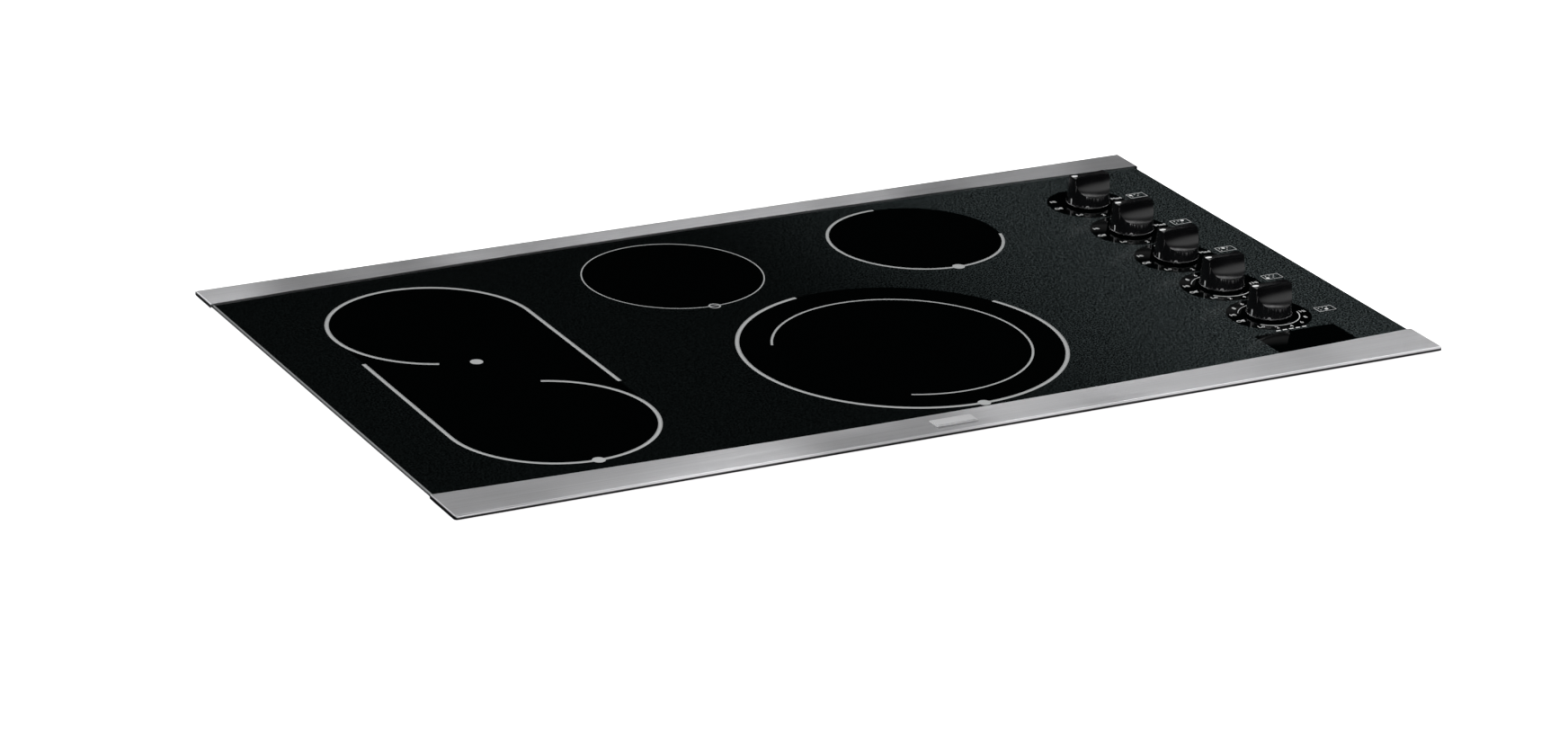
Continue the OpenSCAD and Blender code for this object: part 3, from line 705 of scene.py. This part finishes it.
def zone_plan(name, centre_x, centre_y, chosen):
    """A small plan of the cooktop: a frame, and a larger disc at the chosen zone's place."""
    w, d = 0.0086, 0.0050
    glass_half_w, glass_half_d = 0.465, 0.27
    frame_points = [Vector((centre_x + sx * w, centre_y + sy * d, ink_z))
                    for sx, sy in ((-1, -1), (1, -1), (1, 1), (-1, 1))]
    printed_line(f"{name}_frame", frame_points, 0.0006, white_ink, closed=True)

    def discs(work):
        for zone, (x, y, radius) in zone_ring.items():
            place = Matrix.Translation((centre_x + x / glass_half_w * w * 0.95,
                                        centre_y + y / glass_half_d * d * 0.9, ink_z))
            size = 0.0017 if zone == chosen else 0.0006
            bmesh.ops.create_cone(work, cap_ends=True, segments=20, radius1=size, radius2=size,
                                  depth=ink_t, matrix=place)

    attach(piece_from(f"{name}_discs", discs, white_ink), "cooktop")


zone_of_knob = ["left_rear", "right_rear", "warming", "left_front", "power"]
single_dial = [("Off", 183), ("Lo", 226), ("2", 266), ("4", 314), ("Med", 4), ("6", 50), ("8", 92),
               ("Hi", 150)]
dual_dial = [("Off", 188), ("Lo", 226), ("2", 251), ("4", 276), ("6", 301), ("8", 326), ("Hi", 351),
             ("Hi", 160), ("8", 130), ("6", 105), ("4", 80), ("2", 55), ("Lo", 28)]
dial_text_r = 0.0318
dial_text_h = 0.0062
dial_arc_r = 0.0268
plan_out = 0.0535
for k, y in enumerate(knob_y, 1):
    dial = single_dial if k <= 3 else dual_dial
    words = [(text, knob_x + dial_text_r * math.cos(math.radians(a)),
              y + dial_text_r * math.sin(math.radians(a))) for text, a in dial]
    lettering(f"dial_{k}_figures", words, dial_text_h, white_ink)
    zone_plan(f"dial_{k}_plan", knob_x + plan_out, y + (0.002 if k < 5 else -0.007), zone_of_knob[k - 1])
    if k > 3:
        printed_line(f"dial_{k}_dual_arc", arc(knob_x, y, dial_arc_r, 222, 130, ink_z), 0.0009, white_ink)
        printed_line(f"dial_{k}_single_arc", arc(knob_x, y, dial_arc_r, 20, 130, ink_z), 0.0005, white_ink)


def lamp_marks(work):
    """One short bar beside the window for each lamp."""
    window_x = (lamp_window[0] + lamp_window[1]) / 2
    bar_pitch, bar_y = 0.0066, -0.1802
    for k in range(-2, 3):
        place = (Matrix.Translation((window_x + k * bar_pitch, bar_y, ink_z))
                 @ Matrix.Diagonal((0.0042, 0.0016, ink_t, 1)))
        bmesh.ops.create_cube(work, size=1, matrix=place)


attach(piece_from("window_marks", lamp_marks, white_ink), "cooktop")


# ---------------------------------------------------------------- switches
# Black phenolic switch bodies and terminal block. Each steel shaft slides in against a
# coil spring, with an acetal collar between them.

phenolic = Finish("switch_plastic", IOR=1.5)
filler = phenolic.noise(1300, 3.0)
phenolic.set("Base Color", filler.blend((0.012, 0.012, 0.013), (0.034, 0.033, 0.033)))
phenolic.set("Roughness", filler * 0.2 + 0.36)
phenolic.bump(filler, 0.00003)
finish_node(phenolic.material, "switch_bodies", "terminal_block")

turned = Finish("shaft_steel", Metallic=1.0)
rings = turned.noise(1.0, 2.0, 0.5, turned.stretched(60, 60, 5200))
turned.set("Base Color", rings.blend((0.56, 0.56, 0.57), (0.70, 0.70, 0.71)))
turned.set("Roughness", rings * 0.12 + 0.2)
turned.bump(rings, 0.00002)

acetal = Finish("collar_plastic", IOR=1.48)
milky = acetal.noise(200, 3.0)
acetal.set("Base Color", milky.blend((0.66, 0.63, 0.52), (0.78, 0.76, 0.66)))
acetal.set("Roughness", milky * 0.15 + 0.3)
acetal.bump(milky, 0.00003)

piano_wire = Finish("return_wire", Metallic=1.0)
pulled = piano_wire.noise(900, 2.0)
piano_wire.set("Base Color", pulled.blend((0.44, 0.44, 0.46), (0.62, 0.62, 0.63)))
piano_wire.set("Roughness", pulled * 0.15 + 0.2)
piano_wire.bump(pulled, 0.00001)

coil_wire_r = 0.0005
coil_turns = 5
closed_turns = 0.7
for k, y in enumerate(knob_y, 1):
    finish_node(turned.material, f"shaft_{k}")
    finish_node(acetal.material, f"collar_{k}")
    low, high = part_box(f"return_spring_{k}")
    spring_r = (high.x - low.x) / 2 - coil_wire_r
    first_z, rise = low.z + coil_wire_r, high.z - low.z - 2 * coil_wire_r
    helix = []
    for step in range(coil_turns * 32 + 1):
        turn = step / 32
        open_part = (turn - closed_turns) / (coil_turns - 2 * closed_turns)
        share = min(max(open_part, 0.0), 1.0) * (1 - 4 * coil_wire_r / rise)
        share += (min(turn / closed_turns, 1) + max(0, (turn - coil_turns) / closed_turns + 1)) \
            * 2 * coil_wire_r / rise
        helix.append((knob_x + spring_r * math.cos(2 * math.pi * turn),
                      y + spring_r * math.sin(2 * math.pi * turn), first_z + rise * share))
    spring = grown(f"control_{k}_return_spring", path_object(helix), wire_tree,
                   {"Width": coil_wire_r, "Finish": piano_wire.material}, piano_wire.material)
    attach(spring, "cooktop")
    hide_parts(f"return_spring_{k}")
    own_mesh(spring)


# ---------------------------------------------------------------- knobs
# Glossy black moulded knobs with a thumb scoop on each side of a grip bar. A white dot on
# top and a white line on the skirt show where the bar points.

knob_low, knob_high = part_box("knob_1")
knob_r = (knob_high.x - knob_low.x) / 2
knob_h = knob_high.z - knob_low.z
index_turn = math.radians(8)
scoop_r = 0.017
scoop_long = 0.034
bar_half = 0.0032
scoop_floor = 0.0098


def solid_from(name, edit):
    """A scratch object for the boolean cuts."""
    work = bmesh.new()
    edit(work)
    mesh = bpy.data.meshes.new(name)
    work.to_mesh(mesh)
    work.free()
    made = bpy.data.objects.new(name, mesh)
    bpy.context.scene.collection.objects.link(made)
    return made


def turned_outline(outline, segments=128):
    """A closed form of revolution about Z from (radius, height) points."""
    def edit(work):
        rings = []
        for radius, height in outline:
            if radius < 1e-6:
                rings.append([work.verts.new((0, 0, height))])
            else:
                rings.append([work.verts.new((radius * math.cos(2 * math.pi * k / segments),
                                              radius * math.sin(2 * math.pi * k / segments), height))
                              for k in range(segments)])
        for low, high in zip(rings, rings[1:]):
            for k in range(segments):
                n = (k + 1) % segments
                corners = ([low[0], high[n], high[k]] if len(low) == 1 else
                           [low[k], low[n], high[0]] if len(high) == 1 else
                           [low[k], low[n], high[n], high[k]])
                work.faces.new(corners)
        bmesh.ops.recalc_face_normals(work, faces=work.faces)
    return edit


def rounded(corner_r, corner_z, radius, start, end, steps=5):
    """Points of a rounded corner in a turned outline."""
    return [(corner_r + radius * math.cos(math.radians(start + (end - start) * k / steps)),
             corner_z + radius * math.sin(math.radians(start + (end - start) * k / steps)))
            for k in range(steps + 1)]


def knob_mesh():
    """The knob about its own axis, with its underside at z = 0."""
    top_round = 0.0016
    outline = ([(0, 0), (knob_r - 0.0003, 0)] + [(knob_r, 0.0003), (knob_r, 0.0007)]
               + rounded(knob_r - 0.0003, 0.0007, 0.0003, 0, 90, 3)[1:]
               + [(knob_r - 0.0006, 0.0013), (knob_r - 0.0008, 0.0040)]
               + rounded(knob_r - 2 * top_round, knob_h - top_round, top_round, 0, 90) + [(0, knob_h)])
    form = solid_from("knob_form", turned_outline(outline))
    cutters = []
    for way in (-1, 1):
        def scoop(work, way=way):
            bmesh.ops.create_uvsphere(work, u_segments=96, v_segments=64, radius=scoop_r)
            shape = (Matrix.Translation((0, way * (bar_half + scoop_r), scoop_floor + scoop_r))
                     @ Matrix.Diagonal((scoop_long / scoop_r, 1, 1, 1))
                     @ Matrix.Rotation(math.pi / 2, 4, "Y"))
            bmesh.ops.transform(work, matrix=shape, verts=work.verts)
        cutters.append(solid_from("scoop", scoop))
    boss_r, hollow_h, below = 0.0062, 0.0070, -0.001
    hollow = [(boss_r, below), (knob_r - 0.0020, below), (knob_r - 0.0022, hollow_h), (boss_r, hollow_h),
              (boss_r, below)]
    cutters.append(solid_from("hollow", turned_outline(hollow, 64)))
    bore_r, bore_h = 0.00305, 0.0143
    bore = [(0, below), (bore_r, below), (bore_r, bore_h), (0, bore_h)]
    cutters.append(solid_from("shaft_bore", turned_outline(bore, 48)))
    for cutter in cutters:
        cut = form.modifiers.new("cut", "BOOLEAN")
        cut.operation = "DIFFERENCE"
        cut.solver = "EXACT"
        cut.object = cutter
    soft = form.modifiers.new("soft", "BEVEL")
    soft.width = 0.00045
    soft.segments = 3
    soft.limit_method = "ANGLE"
    soft.angle_limit = math.radians(38)
    soft.harden_normals = False
    shown = form.evaluated_get(bpy.context.evaluated_depsgraph_get())
    mesh = bpy.data.meshes.new_from_object(shown)
    for scratch in [form, *cutters]:
        bpy.data.objects.remove(scratch)
    mesh.polygons.foreach_set("use_smooth", [True] * len(mesh.polygons))
    mesh.set_sharp_from_angle(angle=math.radians(30))
    return mesh


def moulded(name, tone, rough):
    """Hard glossy plastic: fine flow marks, slightly duller where fingers rub it."""
    plastic = Finish(name, IOR=1.5)
    worn = plastic.noise(55, 3.0)
    grain = plastic.noise(1400, 2.0)
    plastic.set("Base Color", worn.blend(tone, tuple(c * 1.5 for c in tone)))
    plastic.set("Roughness", worn.ease(0.35, 0.7) * 0.1 + grain * 0.04 + rough)
    plastic.bump(grain, 0.000006)
    return plastic.material


knob_black = moulded("knob_black", (0.0035, 0.0035, 0.004), 0.13)
bead_steel = Finish("skirt_bead", Metallic=1.0)
satin = bead_steel.noise(2500)
bead_steel.set("Base Color", satin.blend((0.52, 0.52, 0.53), (0.66, 0.66, 0.67)))
bead_steel.set("Roughness", satin * 0.1 + 0.22)
bead_r = 0.00042
knob_shape = knob_mesh()
for k, y in enumerate(knob_y, 1):
    place = Matrix.Translation((knob_x, y, knob_low.z))
    mesh = knob_shape.copy()
    mesh.transform(place)
    mesh.materials.clear()
    mesh.materials.append(knob_black)
    knob = bpy.data.objects.new(f"control_{k}_knob", mesh)
    bpy.context.scene.collection.objects.link(knob)
    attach(knob, f"control_{k}")
    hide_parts(f"knob_{k}")

    def marks(work, place=place):
        """A lens-shaped dot set in the top and a line down the skirt."""
        out = Matrix.Rotation(math.pi, 4, "Z")
        dot = (place @ out @ Matrix.Translation((0.0156, 0, knob_h - 0.0001))
               @ Matrix.Diagonal((0.0032, 0.0021, 0.0003, 1)))
        bmesh.ops.create_uvsphere(work, u_segments=32, v_segments=12, radius=1, matrix=dot)
        line = (place @ Matrix.Rotation(math.pi + index_turn, 4, "Z")
                @ Matrix.Translation((knob_r - 0.00075, 0, 0.0040))
                @ Matrix.Diagonal((0.0003, 0.0012, 0.0052, 1)))
        bmesh.ops.create_cube(work, size=1, matrix=line)

    mark = piece_from(f"control_{k}_marks", marks, white_ink)
    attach(mark, f"control_{k}")

    bead_points = [place @ p for p in arc(0, 0, knob_r - bead_r, 0, 360, bead_r + 0.0002, 5)[:-1]]
    bead = grown(f"control_{k}_bead", path_object(bead_points, True), wire_tree,
                 {"Width": bead_r, "Finish": bead_steel.material}, bead_steel.material)
    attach(bead, f"control_{k}")
